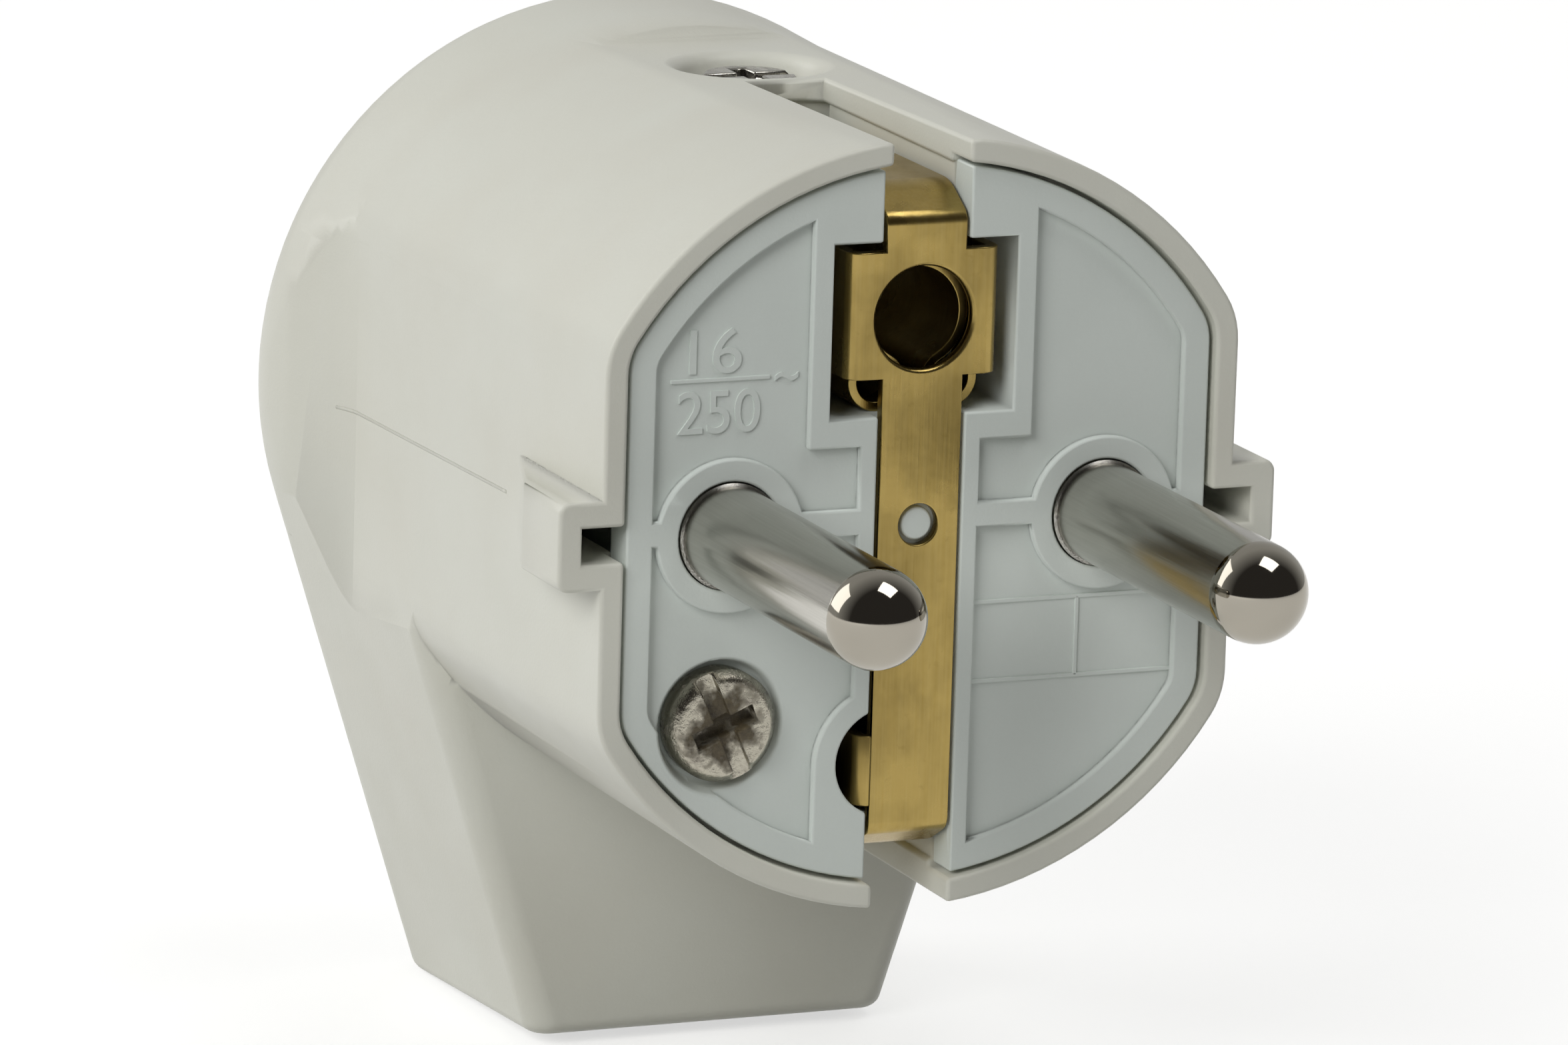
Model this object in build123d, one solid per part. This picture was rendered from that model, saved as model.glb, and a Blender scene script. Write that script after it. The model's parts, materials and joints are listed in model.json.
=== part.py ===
"""Angled two-pin earthed plug, rewirable: hollow housing, contact carrier, pins and earth strip.

Millimetres. The origin is the middle of the contact face, half-way between the pins, in the plane
of the housing's front rim. The pins point along -Y, and the neck for the cord along -Z.
"""
import math
import os

from build123d import *

# Pins, turned in one piece with their terminal barrels
pin_spacing = 19.0
pin_radius = 2.4
pin_length = 19.0
pin_seat_radius = 2.55
collar_radius = 3.5
collar_length = 2.0
collar_seat = 6.0
barrel_radius = 3.1
barrel_length = 10.0
wire_bore_radius = 1.4
wire_bore_depth = 7.5
pin_play = 0.05

# Housing: a round body with flats, a rear collar and a tapered neck
body_radius = 18.5
flank_half = 16.1
corner_radius = 4.0
body_depth = 42.2
collar_start = 31.6
collar_lap = 4.9
rear_rise = 0.3
rear_draft = 1.9
rear_edge_radius = 3.5
flank_ramp_slope = 0.6
ramp_sink = 0.05
flank_bend_radius = 6.0
flank_corner_steps = 3
bend_share = 0.45
top_flat_front_inset = 0.18
top_flat_rear_inset = 0.65
top_flat_end = 29.5
top_ramp_slope = 1.3
top_bend_radius = 0.7
neck_front = 23.7
neck_end = 31.1
neck_lean = 17.75
neck_edge_radius = 1.4
neck_end_radius = 0.8
neck_top = -7.9
body_wall = 1.55
rear_wall = 2.2
neck_wall = 2.0
neck_end_wall = 2.6
cord_bore_radius = 4.75

# Front rim of the housing, which takes the carrier
rim_wall = 1.15
rim_flank_wall = 1.15
carrier_seat = 2.4
carrier_play = 0.2

# Guide ribs on the flanks, each with a notch that is open to the front
rib_half_height = 2.15
rib_rise = 2.17
rib_full_length = 4.5
rib_length = 12.0
rib_root = 0.4
rib_edge_radius = 0.6
notch_rise = 0.95
notch_half_height = 0.85
notch_depth = 6.5

# Slots over the earth contacts, at top and bottom
slot_half = 1.93
slot_length = 17.7
cheek_wall = 1.2
cheek_drop = 1.95

# Contact carrier
face_y = 0.35
field_depth = 0.45
face_border = 1.35
channel_border = 0.85
pocket_border = 1.05
pocket_band = 1.4
tab_border = 1.15
pin_ring_radius = 3.7
web_top = 0.9
web_bottom = -0.35
boss_wall = 1.3
peg_radius = 0.8
peg_front = 0.6
nose_root = 0.4

# Earth strip, stamped and folded from one sheet
strip_front = 0.4
strip_thickness = 0.6
strip_half = 2.04
strip_play = 0.16
leg_inset = 2.5
leg_end = 15.5
leg_corner = 0.8
lead_rise = 1.25
lead_run = 2.2
fold_radius = 0.5
lead_radius = 2.5
nose_play = 0.18
ear_half = 3.85
ear_drop = 2.82
ear_rise = 3.23
ear_depth = 4.6
ear_bend = 0.75
earth_hole_radius = 2.47
earth_hole_z = 9.87
earth_hole_chamfer = 0.2
peg_hole_radius = 1.0
tab_reach = 2.75
tab_inset = 4.2
tab_half = 1.7
tab_end = 12.5

# Spring clip behind the earth hole, for a round earth pin
clip_thickness = 0.45
clip_radius = 2.25
clip_foot_radius = 0.975
clip_foot_x = 1.85
clip_foot_sweep = 250.0
clip_front = 1.6
clip_back = 10.2
pocket_half = 4.65
pocket_room = 0.45
pocket_wall = 1.25

# Round opening in the carrier for the earth tab
tab_hole_radius = 2.6
tab_hole_x = -1.2
tab_hole_rise = 0.4

# Screws and their seats
screw_radius = 1.45
thread_play = 0.05
clearance_play = 0.25
head_radius = 2.7
head_height = 1.7
head_edge = 0.55
drive_width = 0.85
drive_length = 3.2
drive_depth = 1.0
screw_end_chamfer = 0.5
carrier_screw_inset = 3.92
carrier_screw_angle = 43.5
carrier_screw_turn = 113.7
carrier_screw_length = 22.0
carrier_screw_seat = 1.75
dish_radius = 3.3
dish_floor_radius = 2.85
boss_screw_wall = 1.2
carrier_boss_end = 9.0
post_gap = 0.2
pilot_spare = 1.0
housing_screw_y = 22.3
housing_screw_length = 9.5
housing_screw_inset = 2.7
recess_radius = 3.05
recess_draft = 15.0
pad_half = 4.2
pad_thickness = 1.4
lug_half = 3.5
lug_height = 5.0
terminal_screw_y = 14.0
terminal_screw_length = 3.6
terminal_screw_tip = 1.5
earth_screw_y = 9.0
earth_screw_length = 5.5
washer_half = 2.8
washer_thickness = 0.8

# Cord clamp across the back of the housing
clamp_z = -2.0
clamp_half_length = 10.5
clamp_half_height = 2.4
clamp_thickness = 3.0
clamp_inset = 14.2
clamp_screw_x = 7.0
clamp_post_radius = 2.6
clamp_screw_length = 10.0
saddle_half_length = 4.0
saddle_half_height = 2.0
saddle_rise = 2.5

# Sizes that follow from the driving ones
pin_x = pin_spacing / 2
rear_radius = body_radius + rear_rise
cavity_radius = body_radius - body_wall
cavity_flank = flank_half - body_wall
cavity_back = body_depth - rear_wall
rim_radius = body_radius - rim_wall
rim_flank = flank_half - rim_flank_wall
rim_corner = corner_radius - rim_wall
carrier_radius = rim_radius - carrier_play
carrier_flank = rim_flank - carrier_play
carrier_corner = rim_corner - carrier_play
field_floor = face_y + field_depth
strip_back = strip_front + strip_thickness
channel_half = strip_half + strip_play
leg_level = body_radius - leg_inset
leg_inside = leg_level - strip_thickness
lead_start = leg_level - lead_rise
lead_angle = math.atan(lead_rise / lead_run)
fold_shift = strip_thickness * math.tan((math.pi / 2 - lead_angle) / 2)
lead_shift = strip_thickness * math.tan(lead_angle / 2)
pin_hole_radius = pin_seat_radius + pin_play
boss_radius = collar_radius + boss_wall
boss_end = collar_seat + collar_length
barrel_end = boss_end + barrel_length
pilot_radius = screw_radius + thread_play
clearance_radius = screw_radius + clearance_play
clip_mid = clip_radius + clip_thickness / 2
foot_mid = clip_foot_radius + clip_thickness / 2
foot_angle = math.degrees(math.acos(clip_foot_x / (clip_mid + foot_mid)))
clip_foot_z = earth_hole_z - (clip_mid + foot_mid) * math.sin(math.radians(foot_angle))
pocket_floor = clip_foot_z - foot_mid - clip_thickness / 2
ear_bottom = earth_hole_z - ear_drop
ear_top = earth_hole_z + ear_rise
pocket_top = ear_top + pocket_room
pocket_back = clip_back + pocket_wall
housing_screw_seat = body_radius - housing_screw_inset
pad_level = housing_screw_seat - pad_thickness
lug_end = housing_screw_y + pad_half
lug_top = pad_level - post_gap
earth_screw_z = tab_inset - leg_level
tab_bottom = earth_screw_z - tab_half
tab_top = earth_screw_z + tab_half
tab_hole_z = earth_screw_z + tab_hole_rise
screw_way = carrier_radius - carrier_screw_inset
carrier_screw_x = -screw_way * math.cos(math.radians(carrier_screw_angle))
carrier_screw_z = -screw_way * math.sin(math.radians(carrier_screw_angle))
carrier_boss_radius = clearance_radius + boss_screw_wall
clamp_front = body_depth - clamp_inset
neck_mid = (neck_front + body_depth) / 2
neck_slope = math.tan(math.radians(neck_lean))
neck_touch_x = rear_radius * math.cos(math.radians(neck_lean))
neck_touch_z = -rear_radius * math.sin(math.radians(neck_lean))
overcut = 1.0
beyond = 2 * body_depth
low = (Align.CENTER, Align.CENTER, Align.MIN)


def slab(sketch, front, back):
    """A sketch in X and Z made solid between two depths."""
    return extrude(Plane.XZ.offset(-back) * sketch, amount=back - front)


def rod(x, z, radius, front, back):
    return slab(Pos(x, z) * Circle(radius), front, back)


def block(x0, x1, y0, y1, z0, z1):
    middle = Pos((x0 + x1) / 2, (y0 + y1) / 2, (z0 + z1) / 2)
    return middle * Box(x1 - x0, y1 - y0, z1 - z0)


def upright(x, y, radius, z0, z1):
    return Pos(x, y, z0) * Cylinder(radius, z1 - z0, align=low)


def face_outline(radius, flank, corner):
    """A circle with a flat on each side and rounded corners between them."""
    outline = Circle(radius) & Rectangle(2 * flank, 2 * radius)
    return fillet(outline.vertices(), corner)


def neck_half(z):
    """Half the neck's width at a height, in the back plane."""
    return neck_touch_x + (z - neck_touch_z) * neck_slope


def flat_cut(front_level, end_level, end, top_level, ramp_slope, bend):
    """What lies above a flat that ends in a ramp with rounded bends, for the top and the flanks."""
    slope = (end_level - front_level) / end
    ramp_end = end + (top_level - end_level) / ramp_slope
    profile = Polyline(
        (-beyond, front_level - slope * beyond), (end, end_level), (ramp_end, top_level),
        (beyond, top_level), (beyond, beyond), (-beyond, beyond), close=True)
    half_turn = math.atan(ramp_slope) / 2
    ramp_length = math.hypot(ramp_end - end, top_level - end_level)
    bend = min(bend, bend_share * ramp_length / math.tan(half_turn))
    tool = make_face(profile)
    tool = fillet(tool.vertices().filter_by_position(Axis.X, end, ramp_end), bend)
    return extrude(Plane.YZ * tool, amount=beyond, both=True)


def rear_block():
    """Collar and neck in one drafted form: a circle with two tangent sides."""
    foot = neck_half(-neck_end)
    arc = CenterArc((0, 0), rear_radius, -neck_lean, 180 + 2 * neck_lean)
    sides = Polyline(arc @ 1, (-foot, -neck_end), (foot, -neck_end), arc @ 0)
    outline = make_face([arc, sides])
    form = extrude(Plane.XZ.offset(-body_depth) * outline, amount=body_depth - neck_front, taper=rear_draft)
    rim = form.faces().sort_by(Axis.Y)[-1].edges().sort_by(Axis.Z)[1:]
    form = fillet(rim, rear_edge_radius)
    front = form.faces().sort_by(Axis.Y)[0].edges().sort_by(Axis.Z)[1:]
    form = fillet(front, neck_edge_radius)
    form = fillet(form.faces().sort_by(Axis.Z)[0].edges(), neck_end_radius)
    form -= block(-beyond, beyond, 0, collar_start, neck_top, beyond)

    # Flanks that run out in the collar, with facets where the body's corners are rounded
    bend_start = flank_bend_radius * math.tan(math.atan(flank_ramp_slope) / 2)
    corner_x = flank_half - corner_radius
    corner_z = math.sqrt((body_radius - corner_radius) ** 2 - corner_x ** 2)
    above_neck = block(-beyond, beyond, 0, beyond, neck_top, beyond)
    for step in range(flank_corner_steps):
        turn = math.atan2(corner_z, corner_x) * step / flank_corner_steps
        level = corner_x * math.cos(turn) + corner_z * math.sin(turn) + corner_radius - ramp_sink
        facet = flat_cut(
            level, level, collar_start + bend_start, rear_radius, flank_ramp_slope, flank_bend_radius)
        for side in (-90, 90):
            for tilt in {turn, -turn}:
                tool = Rot(0, side + math.degrees(tilt), 0) * facet
                form -= tool & above_neck if step else tool
    return form


def guide_rib(side):
    """Rib on one flank that fades into it, rounded along its outer edges."""
    root = flank_half - rib_root
    reach = flank_half + rib_rise
    profile = Polyline((root, 0), (reach, 0), (reach, rib_full_length), (root, rib_length), close=True)
    rib = extrude(make_face(profile), amount=rib_half_height, both=True)
    outer = rib.edges().filter_by(Axis.Y).sort_by(Axis.X)[-2:]
    rib = fillet(outer, rib_edge_radius)
    return rib if side > 0 else mirror(rib, Plane.YZ)


def housing():
    shell = slab(face_outline(body_radius, flank_half, corner_radius), 0, collar_start + collar_lap)
    shell += rear_block()
    shell -= flat_cut(body_radius - top_flat_front_inset, body_radius - top_flat_rear_inset, top_flat_end,
                      rear_radius, top_ramp_slope, top_bend_radius)
    shell += [guide_rib(1), guide_rib(-1)]

    # Hollow: seat of the carrier, body and neck
    shell -= slab(face_outline(rim_radius, rim_flank, rim_corner), -overcut, carrier_seat)
    cavity = slab(face_outline(cavity_radius, cavity_flank, corner_radius - body_wall), 0, cavity_back)
    shell -= cavity
    neck_floor = neck_end_wall - neck_end
    inner = Polyline(
        (neck_half(neck_floor) - neck_wall, neck_floor), (neck_half(neck_top) - neck_wall, neck_top),
        (-neck_half(neck_top) + neck_wall, neck_top), (-neck_half(neck_floor) + neck_wall, neck_floor),
        close=True)
    hollow = make_face(inner) & Rectangle(2 * cavity_flank, beyond)
    shell -= slab(hollow, neck_front + neck_wall, cavity_back)
    shell -= upright(0, neck_mid, cord_bore_radius, -neck_end - overcut, neck_floor + overcut)

    # Pad under the top screw, cheeks beside the slots, and posts on the back wall
    pad = block(-pad_half, pad_half, housing_screw_y - pad_half, lug_end, pad_level, cavity_radius)
    post_front = carrier_boss_end + post_gap
    post = rod(carrier_screw_x, carrier_screw_z, carrier_boss_radius, post_front, cavity_back)
    cheek = block(channel_half, channel_half + cheek_wall, carrier_seat, slot_length,
                  cavity_radius - cheek_drop, cavity_radius)
    cheeks = cheek + mirror(cheek, Plane.YZ)
    shell += [pad, post, cheeks, mirror(cheeks, Plane.XY)]
    clamp_seat = clamp_front + clamp_thickness
    for x in (-clamp_screw_x, clamp_screw_x):
        shell += rod(x, clamp_z, clamp_post_radius, clamp_seat, cavity_back)
        shell -= rod(x, clamp_z, pilot_radius, clamp_seat, clamp_front + clamp_screw_length + pilot_spare)
    shell += block(-saddle_half_length, saddle_half_length, cavity_back - saddle_rise, cavity_back,
                   clamp_z - saddle_half_height, clamp_z + saddle_half_height)
    pilot_end = carrier_screw_seat + carrier_screw_length + pilot_spare
    shell -= rod(carrier_screw_x, carrier_screw_z, pilot_radius, carrier_boss_end, pilot_end)
    spread = housing_screw_inset * math.tan(math.radians(recess_draft))
    recess = Cone(recess_radius, recess_radius + spread, housing_screw_inset, align=low)
    shell -= Pos(0, housing_screw_y, housing_screw_seat) * recess
    shell -= upright(0, housing_screw_y, clearance_radius, 0, housing_screw_seat)

    # Slots over the earth contacts and notches in the ribs
    slot = block(-slot_half, slot_half, -overcut, slot_length, leg_inside, beyond)
    shell -= [slot, mirror(slot, Plane.XY)]
    notch = block(cavity_flank, flank_half + notch_rise, -overcut, notch_depth,
                  -notch_half_height, notch_half_height)
    return shell - notch - mirror(notch, Plane.YZ)


def face_fields():
    """Sunk fields of the contact face, between its borders, pin rings and webs."""
    fields = face_outline(
        carrier_radius - face_border, carrier_flank - face_border, carrier_corner - face_border)
    fields -= Rectangle(2 * (channel_half + channel_border), beyond)
    fields -= Pos(0, pocket_floor - pocket_band) * Rectangle(
        2 * (pocket_half + pocket_border), beyond, align=(Align.CENTER, Align.MIN))
    tab_round = tab_hole_radius + tab_border
    fields -= Pos(tab_hole_x, tab_hole_z) * Circle(tab_round)
    fields -= Pos(tab_hole_x, tab_hole_z) * Rectangle(2 * tab_round, beyond, align=(Align.CENTER, Align.MAX))
    fields -= Pos(0, (web_top + web_bottom) / 2) * Rectangle(beyond, web_top - web_bottom)
    for x in (-pin_x, pin_x):
        fields -= Pos(x, 0) * Circle(pin_ring_radius)
    return fields


def contact_carrier():
    plate = slab(face_outline(carrier_radius, carrier_flank, carrier_corner), face_y, carrier_seat)
    plate -= slab(face_fields(), 0, field_floor)
    rear = rod(carrier_screw_x, carrier_screw_z, carrier_boss_radius, carrier_seat, carrier_boss_end)
    for x in (-pin_x, pin_x):
        rear += rod(x, 0, boss_radius, carrier_seat, boss_end)
    rear += block(-pocket_half - pocket_wall, pocket_half + pocket_wall, carrier_seat, pocket_back,
                  pocket_floor - pocket_wall, pocket_top + pocket_wall)
    rear += block(-lug_half, lug_half, pocket_back, lug_end, lug_top - lug_height, lug_top)
    inside = face_outline(cavity_radius - carrier_play, cavity_flank - carrier_play,
                          corner_radius - body_wall - carrier_play)
    body = plate + (rear & slab(inside, carrier_seat, cavity_back))

    # Channel for the strip, with a nose under each lead-in
    turn = lead_start - fold_shift - nose_play
    nose_level = leg_inside - nose_play
    body -= block(-channel_half, channel_half, 0, strip_back, -turn, turn)
    profile = Polyline(
        (strip_back, turn - nose_root), (strip_back, turn),
        (strip_back + lead_run * (nose_level - turn) / lead_rise, nose_level),
        (leg_end, nose_level), (leg_end, turn - nose_root), close=True)
    nose = extrude(Plane.YZ * make_face(profile), amount=strip_half, both=True)
    for side in (1, -1):
        body -= block(-channel_half, channel_half, 0, carrier_seat, *sorted((side * turn, side * beyond)))
        body -= block(-channel_half, channel_half, 0, leg_end, *sorted((side * nose_level, side * beyond)))
        body += nose if side > 0 else mirror(nose, Plane.XY)

    # Openings
    body -= block(-pocket_half, pocket_half, 0, clip_back, pocket_floor, pocket_top)
    body -= rod(tab_hole_x, tab_hole_z, tab_hole_radius, 0, carrier_seat)
    body += rod(0, 0, peg_radius, peg_front, carrier_seat)
    for x in (-pin_x, pin_x):
        body -= rod(x, 0, pin_hole_radius, 0, collar_seat)
        body -= rod(x, 0, collar_radius + pin_play, collar_seat, boss_end)
    dish = Cone(dish_floor_radius, dish_radius, carrier_screw_seat - face_y, align=low)
    body -= Plane.XZ.offset(-carrier_screw_seat) * Pos(carrier_screw_x, carrier_screw_z) * dish
    body -= rod(carrier_screw_x, carrier_screw_z, clearance_radius, 0, carrier_boss_end)
    return body - upright(0, housing_screw_y, pilot_radius, lug_top - lug_height, lug_top)


def pin(x):
    """Turned pin with a round tip, a collar and a terminal barrel that is bored for the wire."""
    tip = CenterArc((0, pin_radius - pin_length), pin_radius, -90, 90)
    steps = Polyline(
        tip @ 1, (pin_radius, face_y), (pin_seat_radius, face_y), (pin_seat_radius, collar_seat),
        (collar_radius, collar_seat), (collar_radius, boss_end), (barrel_radius, boss_end),
        (barrel_radius, barrel_end), (0, barrel_end), tip @ 0)
    turned = Pos(x, 0, 0) * revolve(make_face([tip, steps]), Axis.Y)
    turned -= rod(x, 0, wire_bore_radius, barrel_end - wire_bore_depth, barrel_end)
    return turned - upright(x, terminal_screw_y, pilot_radius, 0, barrel_radius + overcut)


def earth_strip():
    middle = strip_front + strip_thickness / 2
    level = leg_level - strip_thickness / 2
    bend = lead_start - fold_shift / 2
    lead_end = strip_front + lead_run + lead_shift / 2
    line = FilletPolyline(
        (leg_end, level), (lead_end, level), (middle, bend),
        (middle, -bend), (lead_end, -level), (leg_end, -level),
        radius=(lead_radius, fold_radius, fold_radius, lead_radius))
    band = trace(line, strip_thickness)
    strip = extrude(Plane.YZ * band, amount=strip_half, both=True)
    ends = strip.edges().filter_by(Axis.Z).group_by(Axis.Y)[-1]
    strip = fillet(ends, leg_corner)

    ears = block(-ear_half, ear_half, strip_front, ear_depth, ear_bottom, ear_top)
    ears = fillet(ears.edges().filter_by(Axis.Z).group_by(Axis.Y)[0], ear_bend)
    inside = ear_half - strip_thickness
    room = block(-inside, inside, strip_back, beyond, ear_bottom, ear_top)
    strip += ears - fillet(room.edges().filter_by(Axis.Z).group_by(Axis.Y)[0], ear_bend - strip_thickness)

    tab = block(-tab_reach, 0, strip_front, tab_end, tab_bottom, tab_top)
    tab = fillet(tab.edges().filter_by(Axis.Z).sort_by(Axis.X)[:2].sort_by(Axis.Y)[0], ear_bend)
    room = block(strip_thickness - tab_reach, beyond, strip_back, beyond, tab_bottom, tab_top)
    strip += tab - fillet(room.edges().filter_by(Axis.Z).sort_by(Axis.X)[:2].sort_by(Axis.Y)[0],
                          ear_bend - strip_thickness)
    strip -= Pos(-tab_reach, earth_screw_y, earth_screw_z) * Rot(0, 90, 0) * Cylinder(pilot_radius, tab_reach)

    strip -= rod(0, earth_hole_z, earth_hole_radius, 0, strip_back)
    rim = strip.edges().filter_by(GeomType.CIRCLE).filter_by(
        lambda e: abs(e.radius - earth_hole_radius) < 1e-6).sort_by(Axis.Y)[0]
    strip = chamfer(rim, earth_hole_chamfer)
    return strip - rod(0, 0, peg_hole_radius, 0, strip_back)


def earth_pin_clip():
    """Sheet bent to a sleeve with two curled feet, seen along the pin."""
    ring = CenterArc((0, earth_hole_z), clip_mid, -foot_angle, 180 + 2 * foot_angle)
    right = CenterArc((clip_foot_x, clip_foot_z), foot_mid, 180 - foot_angle, clip_foot_sweep)
    left = CenterArc((-clip_foot_x, clip_foot_z), foot_mid, foot_angle, -clip_foot_sweep)
    return slab(trace([ring, right, left], clip_thickness), clip_front, clip_back)


def screw(length):
    """Screw with a combined slot and cross, its seat at Z = 0 and its head upwards."""
    shank = Pos(0, 0, -length) * Cylinder(screw_radius, length, align=low)
    shank = chamfer(shank.edges().sort_by(Axis.Z)[0], screw_end_chamfer)
    head = Cylinder(head_radius, head_height, align=low)
    head = chamfer(head.edges().sort_by(Axis.Z)[-1], head_edge)
    top = Pos(0, 0, head_height)
    slot = top * Box(2 * head_radius, drive_width, drive_depth)
    cross = top * Box(drive_width, drive_length, 2 * drive_depth)
    return shank + head - slot - cross


def cord_clamp():
    bar = SlotOverall(2 * clamp_half_length, 2 * clamp_half_height)
    for x in (-clamp_screw_x, clamp_screw_x):
        bar -= Pos(x, 0) * Circle(clearance_radius)
    return slab(Pos(0, clamp_z) * bar, clamp_front, clamp_front + clamp_thickness)


def earth_clamp_washer():
    plate = Box(washer_thickness, 2 * washer_half, 2 * washer_half)
    plate -= Rot(0, 90, 0) * Cylinder(clearance_radius, 2 * washer_thickness)
    return Pos(-tab_reach - washer_thickness / 2, earth_screw_y, earth_screw_z) * plate


def nodes():
    facing_front = Rot(90, 0, 0)
    facing_left = Rot(0, -90, 0)
    terminal_top = terminal_screw_tip + terminal_screw_length
    return {
        "housing": housing(),
        "contact_carrier": contact_carrier(),
        "pin_left": pin(-pin_x),
        "pin_right": pin(pin_x),
        "pin_terminal_screws": Compound(
            [Pos(x, terminal_screw_y, terminal_top) * screw(terminal_screw_length) for x in (-pin_x, pin_x)]),
        "earth_strip": earth_strip(),
        "earth_pin_clip": earth_pin_clip(),
        "earth_terminal_screw": Pos(-tab_reach - washer_thickness, earth_screw_y, earth_screw_z)
        * facing_left * screw(earth_screw_length),
        "earth_clamp_washer": earth_clamp_washer(),
        "carrier_screw": Pos(carrier_screw_x, carrier_screw_seat, carrier_screw_z)
        * facing_front * Rot(0, 0, carrier_screw_turn) * screw(carrier_screw_length),
        "housing_screw": Pos(0, housing_screw_y, housing_screw_seat) * screw(housing_screw_length),
        "cord_clamp": cord_clamp(),
        "cord_clamp_screws": Compound(
            [Pos(x, clamp_front, clamp_z) * facing_front * screw(clamp_screw_length)
             for x in (-clamp_screw_x, clamp_screw_x)]),
    }


os.makedirs("parts", exist_ok=True)
for name, part in nodes().items():
    export_step(part, os.path.join("parts", name + ".step"))
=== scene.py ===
import json
import math
import bpy
import bmesh
from mathutils import Matrix, Vector
from mathutils.bvhtree import BVHTree


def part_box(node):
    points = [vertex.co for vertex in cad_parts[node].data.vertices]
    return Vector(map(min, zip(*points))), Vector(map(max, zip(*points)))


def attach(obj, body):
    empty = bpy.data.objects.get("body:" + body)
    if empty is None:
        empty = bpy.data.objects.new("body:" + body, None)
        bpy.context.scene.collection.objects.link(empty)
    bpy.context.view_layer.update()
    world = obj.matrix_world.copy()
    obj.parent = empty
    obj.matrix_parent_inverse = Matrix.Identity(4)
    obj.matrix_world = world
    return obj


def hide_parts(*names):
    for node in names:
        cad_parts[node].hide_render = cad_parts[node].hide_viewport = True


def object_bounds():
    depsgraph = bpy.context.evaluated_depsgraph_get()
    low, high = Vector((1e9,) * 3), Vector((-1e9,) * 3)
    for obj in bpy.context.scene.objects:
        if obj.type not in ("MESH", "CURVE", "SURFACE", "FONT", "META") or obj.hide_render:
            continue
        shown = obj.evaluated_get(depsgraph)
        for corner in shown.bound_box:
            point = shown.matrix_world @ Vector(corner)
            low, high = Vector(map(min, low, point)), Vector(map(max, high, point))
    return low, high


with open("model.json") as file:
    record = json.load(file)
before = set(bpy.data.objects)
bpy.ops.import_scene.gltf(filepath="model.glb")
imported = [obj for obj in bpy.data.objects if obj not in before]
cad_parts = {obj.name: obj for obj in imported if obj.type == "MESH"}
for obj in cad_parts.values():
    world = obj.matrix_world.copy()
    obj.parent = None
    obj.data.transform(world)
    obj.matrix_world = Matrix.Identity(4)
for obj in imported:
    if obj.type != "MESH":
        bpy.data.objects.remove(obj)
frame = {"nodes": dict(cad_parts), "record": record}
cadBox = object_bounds()
mm = 0.001
mergeWithin = 0.0005 * mm


# camera, fitted to the photograph with the pins' known size
camera = {
    "azimuth": -23.138, "elevation": 12.792, "roll": 1.731,  # degrees
    "distance": 499.237 * mm, "right": -6.438 * mm, "up": 0.175 * mm,
    "focalPixels": 16000, "imageWidth": 2352, "sensor": 36, "clipStart": 10 * mm,
}


def placeCamera(c):
    a, e, r = (math.radians(c[k]) for k in ("azimuth", "elevation", "roll"))
    back = Vector((math.sin(a) * math.cos(e), -math.cos(a) * math.cos(e), math.sin(e)))
    level = Vector((math.cos(a), math.sin(a), 0))
    right = math.cos(r) * level + math.sin(r) * back.cross(level)
    up = back.cross(right)
    cam = bpy.data.objects.new("photoCamera", bpy.data.cameras.new("photoCamera"))
    bpy.context.scene.collection.objects.link(cam)
    turn = Matrix((right, up, back)).transposed().to_4x4()
    cam.matrix_world = Matrix.Translation(back * c["distance"] + right * c["right"] + up * c["up"]) @ turn
    cam.data.sensor_width = c["sensor"]
    cam.data.lens = c["sensor"] * c["focalPixels"] / c["imageWidth"]
    cam.data.clip_start = c["clipStart"]
    bpy.context.scene.camera = cam


placeCamera(camera)
print("camera placed")


# shader building blocks
def newMaterial(name):
    material = bpy.data.materials.new(name)
    material.use_nodes = True
    return material, material.node_tree, material.node_tree.nodes["Principled BSDF"]


def newMetal(name):
    material, tree, shader = newMaterial(name)
    shader.inputs["Metallic"].default_value = 1
    return material, tree, shader


def addNode(tree, kind, sockets=None, **settings):
    node = tree.nodes.new("ShaderNode" + kind)
    for key, value in settings.items():
        setattr(node, key, value)
    for key, value in (sockets or {}).items():
        node.inputs[key].default_value = value
    return node


def objectPlace(tree):
    return addNode(tree, "TexCoord").outputs["Object"]


def alongY(tree, place):
    split = addNode(tree, "SeparateXYZ")
    tree.links.new(place, split.inputs["Vector"])
    return split.outputs["Y"]


def noise(tree, size, stretch=(1, 1, 1), detail=2, roughness=0.5):
    mapping = addNode(tree, "Mapping", {"Scale": [1 / (size * s) for s in stretch]})
    texture = addNode(tree, "TexNoise", {"Scale": 1, "Detail": detail, "Roughness": roughness})
    tree.links.new(objectPlace(tree), mapping.inputs["Vector"])
    tree.links.new(mapping.outputs["Vector"], texture.inputs["Vector"])
    return texture.outputs["Fac"]


def spread(tree, value, low, high, start=0.3, end=0.7):  # a noise mostly lies between 0.3 and 0.7
    node = addNode(tree, "MapRange", {"From Min": start, "From Max": end, "To Min": low, "To Max": high})
    tree.links.new(value, node.inputs["Value"])
    return node.outputs["Result"]


def blend(tree, factor, first, second, kind):
    node = addNode(tree, "Mix", data_type="FLOAT" if kind == "VALUE" else kind)
    tree.links.new(factor, node.inputs["Factor"])
    for name, value in (("A", first), ("B", second)):
        socket = [s for s in node.inputs if s.name == name and s.type == kind][0]
        if isinstance(value, bpy.types.NodeSocket):
            tree.links.new(value, socket)
        else:
            socket.default_value = (*value, 1) if kind == "RGBA" else value
    return [s for s in node.outputs if s.type == kind][0]


def blendTone(tree, factor, first, second):
    return blend(tree, factor, first, second, "RGBA")


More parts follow.
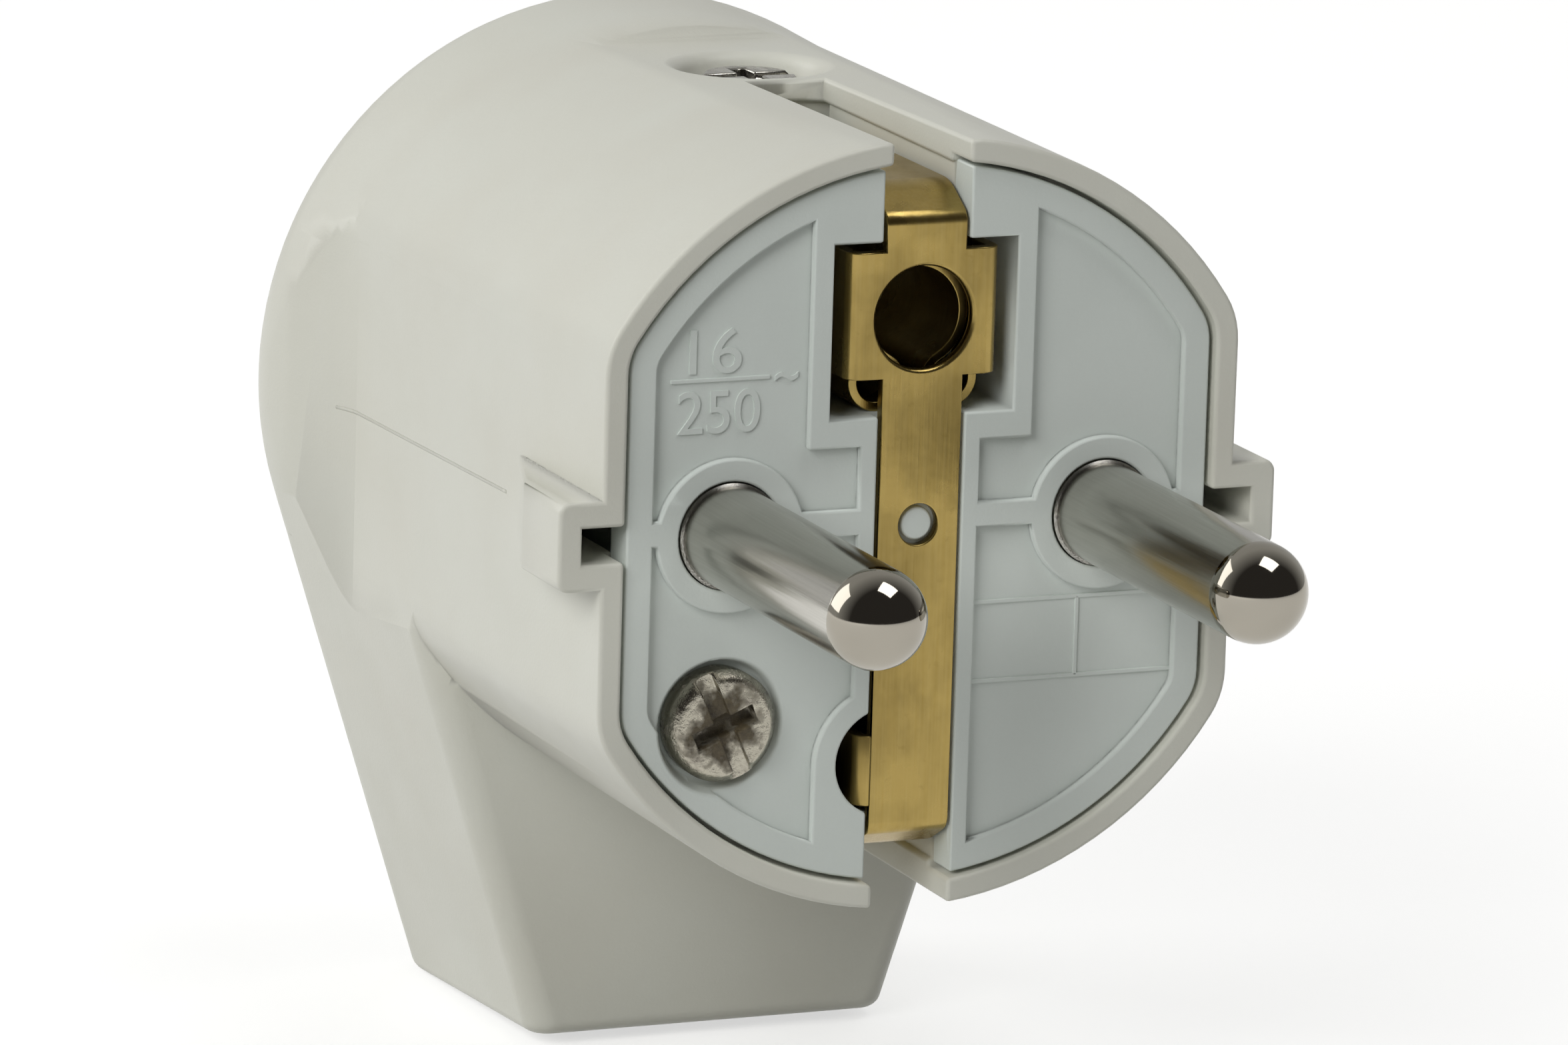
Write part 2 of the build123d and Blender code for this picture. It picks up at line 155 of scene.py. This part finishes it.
def blendValue(tree, factor, first, second):
    return blend(tree, factor, first, second, "VALUE")


def addBump(tree, shader, height, depth):
    bump = addNode(tree, "Bump", {"Strength": 1, "Distance": depth})
    tree.links.new(height, bump.inputs["Height"])
    below = shader.inputs["Normal"].links
    if below:
        tree.links.new(below[0].from_socket, bump.inputs["Normal"])
    tree.links.new(bump.outputs["Normal"], shader.inputs["Normal"])


# moulded plastic: cloudy tone with fine specks, satin grain and a slight wave
plastics = {
    "housingPlastic": {"tone": (0.70, 0.705, 0.63), "cloud": (0.68, 0.675, 0.595),
                       "roughness": (0.36, 0.46)},
    "carrierPlastic": {"tone": (0.69, 0.74, 0.70), "cloud": (0.66, 0.71, 0.67),
                       "roughness": (0.34, 0.44)},
}
moulding = {
    "cloudSize": 9 * mm, "speckSize": 0.35 * mm, "speckRange": (0.62, 0.8), "speckShare": 0.35,
    "glossSize": 4 * mm, "ior": 1.48, "grainSize": 0.16 * mm, "grainDepth": 0.012 * mm,
    "waveSize": 5 * mm, "waveDepth": 0.03 * mm,
}


def mouldedPlastic(name):
    p = plastics[name]
    m = moulding
    material, tree, shader = newMaterial(name)
    clouds = spread(tree, noise(tree, m["cloudSize"], detail=3), 0, 1)
    specks = spread(tree, noise(tree, m["speckSize"]), 0, m["speckShare"], *m["speckRange"])
    gloss = spread(tree, noise(tree, m["glossSize"], detail=3), *p["roughness"])
    tone = blendTone(tree, clouds, p["tone"], p["cloud"])
    tone = blendTone(tree, specks, tone, p["cloud"])
    tree.links.new(tone, shader.inputs["Base Color"])
    tree.links.new(gloss, shader.inputs["Roughness"])
    shader.inputs["IOR"].default_value = m["ior"]
    addBump(tree, shader, noise(tree, m["grainSize"], detail=3), m["grainDepth"])
    addBump(tree, shader, noise(tree, m["waveSize"], detail=1), m["waveDepth"])
    return material


# nickel of the pins: drawn along the shaft, polished tip; the tip's colour is darkened below nickel as
# painted shade, standing in for the dim room its reflection shows
nickel = {
    "tone": (0.56, 0.545, 0.50), "streak": (0.48, 0.465, 0.42), "tipShadeTone": (0.36, 0.335, 0.285),
    "shaftRoughness": (0.17, 0.24), "tipRoughness": 0.06, "tipLength": 2.4 * mm, "seam": 0.06 * mm,
    "lineSize": 0.12 * mm, "lineStretch": (1, 60, 1), "lineDepth": 0.006 * mm,
    "wornSize": 4 * mm, "wornStretch": (1, 3, 1),
}


def pinNickel():
    n = nickel
    material, tree, shader = newMetal("pinNickel")
    seam = cadBox[0].y + n["tipLength"]
    onShaft = spread(tree, alongY(tree, objectPlace(tree)), 0, 1, seam - n["seam"], seam)
    drawn = noise(tree, n["lineSize"], n["lineStretch"], detail=4, roughness=0.6)
    worn = noise(tree, n["wornSize"], n["wornStretch"], detail=1)
    shaftTone = blendTone(tree, spread(tree, drawn, 0, 1), n["tone"], n["streak"])
    shaftGloss = spread(tree, worn, *n["shaftRoughness"])
    # the polished tip takes a nickel darkened as painted shade, for the dull reflection it shows
    tree.links.new(blendTone(tree, onShaft, n["tipShadeTone"], shaftTone), shader.inputs["Base Color"])
    tree.links.new(blendValue(tree, onShaft, n["tipRoughness"], shaftGloss), shader.inputs["Roughness"])
    lines = addNode(tree, "Math", operation="MULTIPLY")
    tree.links.new(drawn, lines.inputs[0])
    tree.links.new(onShaft, lines.inputs[1])
    addBump(tree, shader, lines.outputs["Value"], n["lineDepth"])
    return material


# brass sheet: bright rolled lines along the strip, dull patches and spots
brass = {
    "tone": (0.385, 0.278, 0.086), "dull": (0.29, 0.208, 0.064), "bright": (0.44, 0.335, 0.13),
    "patchSize": 3.2 * mm, "patchStretch": (1, 1, 1.6), "patchRange": (0.42, 0.72),
    "roughness": (0.24, 0.42), "roughRange": (0.35, 0.7),
    "lineSize": 0.14 * mm, "lineStretch": (1, 1, 40), "lineShare": 0.35, "lineDepth": 0.005 * mm,
    "spotSize": 0.5 * mm, "spotRange": (0.64, 0.78), "spotShare": 0.6,
    "waveSize": 1.6 * mm, "waveDepth": 0.03 * mm,
}


def stripBrass():
    b = brass
    material, tree, shader = newMetal("stripBrass")
    patches = noise(tree, b["patchSize"], b["patchStretch"], detail=4, roughness=0.6)
    rolled = noise(tree, b["lineSize"], b["lineStretch"], detail=3)
    spots = noise(tree, b["spotSize"], detail=3)
    tone = blendTone(tree, spread(tree, patches, 0, 1, *b["patchRange"]), b["tone"], b["dull"])
    tone = blendTone(tree, spread(tree, rolled, 0, b["lineShare"]), tone, b["bright"])
    tone = blendTone(tree, spread(tree, spots, 0, b["spotShare"], *b["spotRange"]), tone, b["dull"])
    tree.links.new(tone, shader.inputs["Base Color"])
    tree.links.new(spread(tree, patches, *b["roughness"], *b["roughRange"]), shader.inputs["Roughness"])
    addBump(tree, shader, rolled, b["lineDepth"])
    addBump(tree, shader, noise(tree, b["waveSize"]), b["waveDepth"])
    return material


# zinc of the screws: bright, with scuffs
zinc = {
    "tone": (0.50, 0.485, 0.44), "scuff": (0.20, 0.18, 0.15), "roughness": (0.12, 0.30),
    "grimeSize": 0.9 * mm, "grimeRange": (0.5, 0.72), "grimeDepth": 0.03 * mm,
    "scratchSize": 0.1 * mm, "scratchStretch": (1, 6, 2),
}
# tarnish of the face's screw: brown and pitted round its worn drive, with a ragged edge
tarnish = {
    "clean": (0.42, 0.395, 0.325), "brown": (0.125, 0.102, 0.06), "pitted": (0.05, 0.038, 0.022),
    "roughness": 0.55, "reach": (1.2 * mm, 2.0 * mm), "ragged": 1.8 * mm, "raggedSize": 1.1 * mm,
    "pitSize": 0.3 * mm, "pitDepth": 0.05 * mm,
}


def tarnishPatch(tree, node, t):
    low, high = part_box(node)
    offAxis = addNode(tree, "VectorMath", {1: (low + high) / 2}, operation="SUBTRACT")
    across = addNode(tree, "VectorMath", {1: (1, 0, 1)}, operation="MULTIPLY")
    reach = addNode(tree, "VectorMath", operation="LENGTH")
    edge = addNode(tree, "Math", {1: t["ragged"]}, operation="MULTIPLY_ADD")
    tree.links.new(objectPlace(tree), offAxis.inputs[0])
    tree.links.new(offAxis.outputs["Vector"], across.inputs[0])
    tree.links.new(across.outputs["Vector"], reach.inputs[0])
    tree.links.new(spread(tree, noise(tree, t["raggedSize"], detail=5), -0.5, 0.5), edge.inputs[0])
    tree.links.new(reach.outputs["Value"], edge.inputs[2])
    return spread(tree, edge.outputs["Value"], 1, 0, *t["reach"])


def screwZinc(name, tarnishedNode=None):
    z = zinc
    t = tarnish
    material, tree, shader = newMetal(name)
    grime = noise(tree, z["grimeSize"], detail=4, roughness=0.65)
    scratches = noise(tree, z["scratchSize"], z["scratchStretch"], detail=3)
    clean = t["clean"] if tarnishedNode else z["tone"]
    tone = blendTone(tree, spread(tree, grime, 0, 1, *z["grimeRange"]), clean, z["scuff"])
    gloss = spread(tree, scratches, *z["roughness"])
    if tarnishedNode:
        patch = tarnishPatch(tree, tarnishedNode, t)
        pits = noise(tree, t["pitSize"], detail=4, roughness=0.7)
        brown = blendTone(tree, spread(tree, pits, 0, 1), t["brown"], t["pitted"])
        tone = blendTone(tree, patch, tone, brown)
        gloss = blendValue(tree, patch, gloss, t["roughness"])
        tree.links.new(spread(tree, patch, 1, 0, 0, 1), shader.inputs["Metallic"])
        addBump(tree, shader, pits, t["pitDepth"])
    tree.links.new(tone, shader.inputs["Base Color"])
    tree.links.new(gloss, shader.inputs["Roughness"])
    addBump(tree, shader, grime, z["grimeDepth"])
    return material


finishes = {
    "housing_plastic": mouldedPlastic("housingPlastic"), "carrier_plastic": mouldedPlastic("carrierPlastic"),
    "pin_metal": pinNickel(), "strip_brass": stripBrass(), "screw_steel": screwZinc("screwZinc"),
}
wornFinishes = {"carrier_screw": screwZinc("wornZinc", "carrier_screw")}
print("finishes mixed:", len(finishes) + len(wornFinishes))


# every CAD piece shown as a copy with its edges broken, as moulding and tumbling leave them
brokenEdges = {  # width in mm, steps; the pins are turned smooth and keep theirs
    "housing": (0.22, 3), "contact_carrier": (0.14, 2), "earth_strip": (0.07, 2),
    "earth_pin_clip": (0.06, 2), "carrier_screw": (0.12, 3), "housing_screw": (0.12, 3),
    "pin_terminal_screws": (0.1, 2), "earth_terminal_screw": (0.1, 2), "cord_clamp_screws": (0.1, 2),
    "earth_clamp_washer": (0.06, 2), "cord_clamp": (0.1, 2),
}
facets = {"level": 0.05, "join": 0.5, "corner": 60}  # degrees between faces; under corner is a soft bend
screwRecess = {"rimFrom": 3.2 * mm, "rimTo": 4.2 * mm, "soften": 0.55 * mm, "steps": 5}


def mergedCopy(node):
    bm = bmesh.new()
    bm.from_mesh(frame["nodes"][node].data)
    bmesh.ops.remove_doubles(bm, verts=bm.verts, dist=mergeWithin)
    return bm


def softenRecess(bm, r):
    low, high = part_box("housing_screw")
    middle = ((low + high) / 2).xy
    rim = []
    for edge in bm.edges:
        reach = [(v.co.xy - middle).length for v in edge.verts]
        if min(reach) > r["rimFrom"] and max(reach) < r["rimTo"] and edge.verts[0].co.z > high.z:
            if edge.calc_face_angle(0) > math.radians(facets["corner"]):
                rim.append(edge)
    bmesh.ops.bevel(bm, geom=rim, offset=r["soften"], segments=r["steps"], affect="EDGES",
                    profile=0.5, material=-1)
    print("recess rim softened:", len(rim), "edges")


def joinFlats(bm):
    level = [edge for edge in bm.edges if edge.calc_face_angle(1) < math.radians(facets["level"])]
    bmesh.ops.beautify_fill(bm, faces=bm.faces, edges=level, method="ANGLE")  # no slivers beside a round rim
    bmesh.ops.dissolve_limit(bm, angle_limit=math.radians(facets["join"]), verts=bm.verts, edges=bm.edges)


def markCorners(bm):  # outer corners only
    weight = bm.edges.layers.float.new("bevel_weight_edge")
    for edge in bm.edges:
        edge[weight] = edge.calc_face_angle_signed(0) > math.radians(facets["corner"])


def finishPiece(name, bm, slot):
    mesh = bpy.data.meshes.new(name)
    bm.to_mesh(mesh)
    bm.free()
    loose = mesh.attributes.get("custom_normal")
    if loose:  # normals of the loose triangles don't fit the merged faces
        mesh.attributes.remove(loose)
    mesh.materials.append(finishes[slot])
    for face in mesh.polygons:
        face.use_smooth = True
    piece = bpy.data.objects.new(name, mesh)
    bpy.context.scene.collection.objects.link(piece)
    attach(piece, "root")
    return piece


def breakEdges(piece, width, steps):
    bevel = piece.modifiers.new("brokenEdge", "BEVEL")
    bevel.limit_method = "WEIGHT"
    bevel.width = width * mm
    bevel.segments = steps
    bevel.profile = 0.5
    bevel.use_clamp_overlap = False


def dressPiece(node, slot):
    bm = mergedCopy(node)
    if node in brokenEdges:
        joinFlats(bm)
    if node == "housing":
        softenRecess(bm, screwRecess)
    markCorners(bm)
    piece = finishPiece(node + "Shown", bm, slot)
    if node in wornFinishes:
        piece.data.materials[0] = wornFinishes[node]
    if node in brokenEdges:
        breakEdges(piece, *brokenEdges[node])
    flats = piece.modifiers.new("flatsStayFlat", "WEIGHTED_NORMAL")
    flats.mode = "FACE_AREA"
    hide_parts(node)


for part in frame["record"]["subparts"]:
    dressPiece(part["node"], part["material_slot"])


# raised marks on the contact face: plain numbers over and under a line, and a field of two bare boxes
faceMarks = {  # left, right, foot and head in mm, on the floor of the sunk fields
    "figures": {"16": (-11.68, -9.08, 7.72, 9.86), "250": (-12.19, -8.08, 4.88, 6.93),
                "~": (-7.35, -6.2, 7.2, 7.62)},
    "bars": [(-12.6, -7.6, 7.32, 7.52), (3.0, 13.45, -4.15, -3.95), (3.0, 13.45, -7.98, -7.78),
             (8.38, 8.58, -7.9, -4.05)],
    "floor": 0.8 * mm, "rise": 0.09 * mm, "root": 0.06 * mm, "edge": 0.04 * mm, "edgeSteps": 2,
}
facingFront = Matrix(((1, 0, 0, 0), (0, 0, -1, 0), (0, 1, 0, 0), (0, 0, 0, 1)))


def figureMesh(word):
    letters = bpy.data.curves.new("figure", "FONT")
    letters.body = word
    letters.extrude = 0.5  # any depth, because fitMark gives it the real one
    holder = bpy.data.objects.new("figure", letters)
    bpy.context.scene.collection.objects.link(holder)
    mesh = bpy.data.meshes.new_from_object(holder.evaluated_get(bpy.context.evaluated_depsgraph_get()))
    bpy.data.objects.remove(holder)
    return mesh


def fitMark(bm, verts, box, m):
    low = [min(v.co[i] for v in verts) for i in range(3)]
    high = [max(v.co[i] for v in verts) for i in range(3)]
    left, right, foot, head = (value * mm for value in box)
    size = (right - left, head - foot, m["rise"] + m["root"])
    stretch = Matrix.Diagonal([size[i] / (high[i] - low[i]) for i in range(3)]).to_4x4()
    place = Matrix.Translation((left, foot, -m["floor"] - m["root"]))
    toCorner = Matrix.Translation(-Vector(low))
    bmesh.ops.transform(bm, verts=verts, matrix=facingFront @ place @ stretch @ toCorner)


def markFace(m):
    bm = bmesh.new()
    for word, box in m["figures"].items():
        known = set(bm.verts)
        bm.from_mesh(figureMesh(word))
        fitMark(bm, [v for v in bm.verts if v not in known], box, m)
    for box in m["bars"]:
        bar = bmesh.ops.create_cube(bm, size=1)["verts"]
        fitMark(bm, bar, box, m)
        rim = {edge for v in bar for edge in v.link_edges}
        bmesh.ops.bevel(bm, geom=list(rim), offset=m["edge"], segments=m["edgeSteps"], affect="EDGES",
                        profile=0.5, material=-1)
    bmesh.ops.remove_doubles(bm, verts=bm.verts, dist=mergeWithin)
    bmesh.ops.recalc_face_normals(bm, faces=bm.faces)
    marks = finishPiece("faceMarks", bm, "carrier_plastic")
    marks.data.shade_flat()


markFace(faceMarks)
print("contact face marked")


# parting line of the mould, a fine bead along both flanks behind the ribs
partingSeam = {
    "start": 12.2 * mm, "end": 34.0 * mm, "startLevel": -0.05 * mm, "endLevel": -0.5 * mm,
    "steps": 44, "sides": 6, "halfHeight": 0.09 * mm, "rise": 0.035 * mm, "castFrom": 1.0,
}
facingAlongY = Matrix(((1, 0, 0, 0), (0, 0, 1, 0), (0, 1, 0, 0), (0, 0, 0, 1)))


def seamPath(skin, side, s):
    path = []
    for step in range(s["steps"] + 1):
        share = step / s["steps"]
        along = s["start"] + (s["end"] - s["start"]) * share
        level = s["startLevel"] + (s["endLevel"] - s["startLevel"]) * share
        outside = Vector((side * s["castFrom"], along, level))
        path.append(skin.ray_cast(outside, Vector((-side, 0, 0)))[0])
    return path


def beadFlanks(s):
    housing = mergedCopy("housing")
    skin = BVHTree.FromBMesh(housing)
    bm = bmesh.new()
    across = Matrix.Diagonal((s["rise"], s["halfHeight"], 1, 1))
    for side in (-1, 1):
        path = seamPath(skin, side, s)
        ring = bmesh.ops.create_circle(bm, cap_ends=True, radius=1, segments=s["sides"])["verts"]
        bmesh.ops.transform(bm, verts=ring, matrix=Matrix.Translation(path[0]) @ facingAlongY @ across)
        end = list(ring[0].link_faces)
        for here, there in zip(path, path[1:]):
            grown = bmesh.ops.extrude_face_region(bm, geom=end)["geom"]
            end = [g for g in grown if isinstance(g, bmesh.types.BMFace)]
            moved = [g for g in grown if isinstance(g, bmesh.types.BMVert)]
            bmesh.ops.translate(bm, verts=moved, vec=there - here)
    housing.free()
    bmesh.ops.recalc_face_normals(bm, faces=bm.faces)
    finishPiece("partingSeams", bm, "housing_plastic")


beadFlanks(partingSeam)
print("parting lines laid")


# floor and light: pale table and backdrop, lamps all round, a darker room in front
studio = {
    "floorSize": 6.0, "floorTone": (0.62, 0.62, 0.61), "floorRoughness": 0.9, "floorGlow": 0.6,
    "lamps": {  # mirrored ones show in the metal
        "keySoftbox": {"at": (-0.75, 0.60, 0.46), "size": 0.7, "power": 3.6, "mirrored": True},
        "topSoftbox": {"at": (0.28, -0.24, 0.92), "size": 0.5, "power": 2.9, "mirrored": True},
        "leftFill": {"at": (-0.82, -0.54, 0.58), "size": 0.6, "power": 6.8, "mirrored": False},
        "backFill": {"at": (0.85, 0.7, 0.4), "size": 0.7, "power": 2.6, "mirrored": False},
    },
    "skyFront": (0.045, 0.042, 0.04), "skyBehind": (0.1, 0.1, 0.1), "backdrop": (0.5, 0.5, 0.49),
    "skyTurn": (-0.2, 0.5), "skyStrength": 1.0,
}


def seenRays(tree):  # what the eye, metal and glass see, apart from what lights the part
    rays = addNode(tree, "LightPath")
    seen = rays.outputs["Is Camera Ray"]
    for other in ("Is Glossy Ray", "Is Transmission Ray"):
        either = addNode(tree, "Math", operation="MAXIMUM")
        tree.links.new(seen, either.inputs[0])
        tree.links.new(rays.outputs[other], either.inputs[1])
        seen = either.outputs["Value"]
    return seen


def makeFloor(s):
    bpy.ops.mesh.primitive_plane_add(size=s["floorSize"], location=(0, 0, cadBox[0].z))
    floor = bpy.context.object
    floor.name = "floor"
    material, tree, shader = newMaterial("floorPaint")
    shader.inputs["Base Color"].default_value = (*s["floorTone"], 1)
    shader.inputs["Roughness"].default_value = s["floorRoughness"]
    shader.inputs["Emission Color"].default_value = (1, 1, 1, 1)
    glow = addNode(tree, "Math", {1: s["floorGlow"]}, operation="MULTIPLY")
    tree.links.new(seenRays(tree), glow.inputs[0])
    tree.links.new(glow.outputs["Value"], shader.inputs["Emission Strength"])
    floor.data.materials.append(material)


def hangLamps(s):
    for name, lamp in s["lamps"].items():
        light = bpy.data.lights.new(name, "AREA")
        light.size = lamp["size"]
        light.energy = lamp["power"]
        obj = bpy.data.objects.new(name, light)
        bpy.context.scene.collection.objects.link(obj)
        obj.visible_glossy = lamp["mirrored"]
        obj.location = lamp["at"]
        obj.rotation_euler = (-Vector(lamp["at"])).to_track_quat("-Z", "Y").to_euler()


def paintSky(s):
    world = bpy.data.worlds.new("studioWorld")
    world.use_nodes = True
    tree = world.node_tree
    background = tree.nodes["Background"]
    direction = addNode(tree, "TexCoord").outputs["Generated"]
    behind = spread(tree, alongY(tree, direction), 0, 1, *s["skyTurn"])
    light = blendTone(tree, behind, s["skyFront"], s["skyBehind"])
    backdrop = blendTone(tree, behind, s["skyFront"], s["backdrop"])
    tree.links.new(blendTone(tree, seenRays(tree), light, backdrop), background.inputs["Color"])
    background.inputs["Strength"].default_value = s["skyStrength"]
    bpy.context.scene.world = world


makeFloor(studio)
hangLamps(studio)
paintSky(studio)
bpy.context.scene.view_settings.view_transform = "Standard"
print("studio lit")
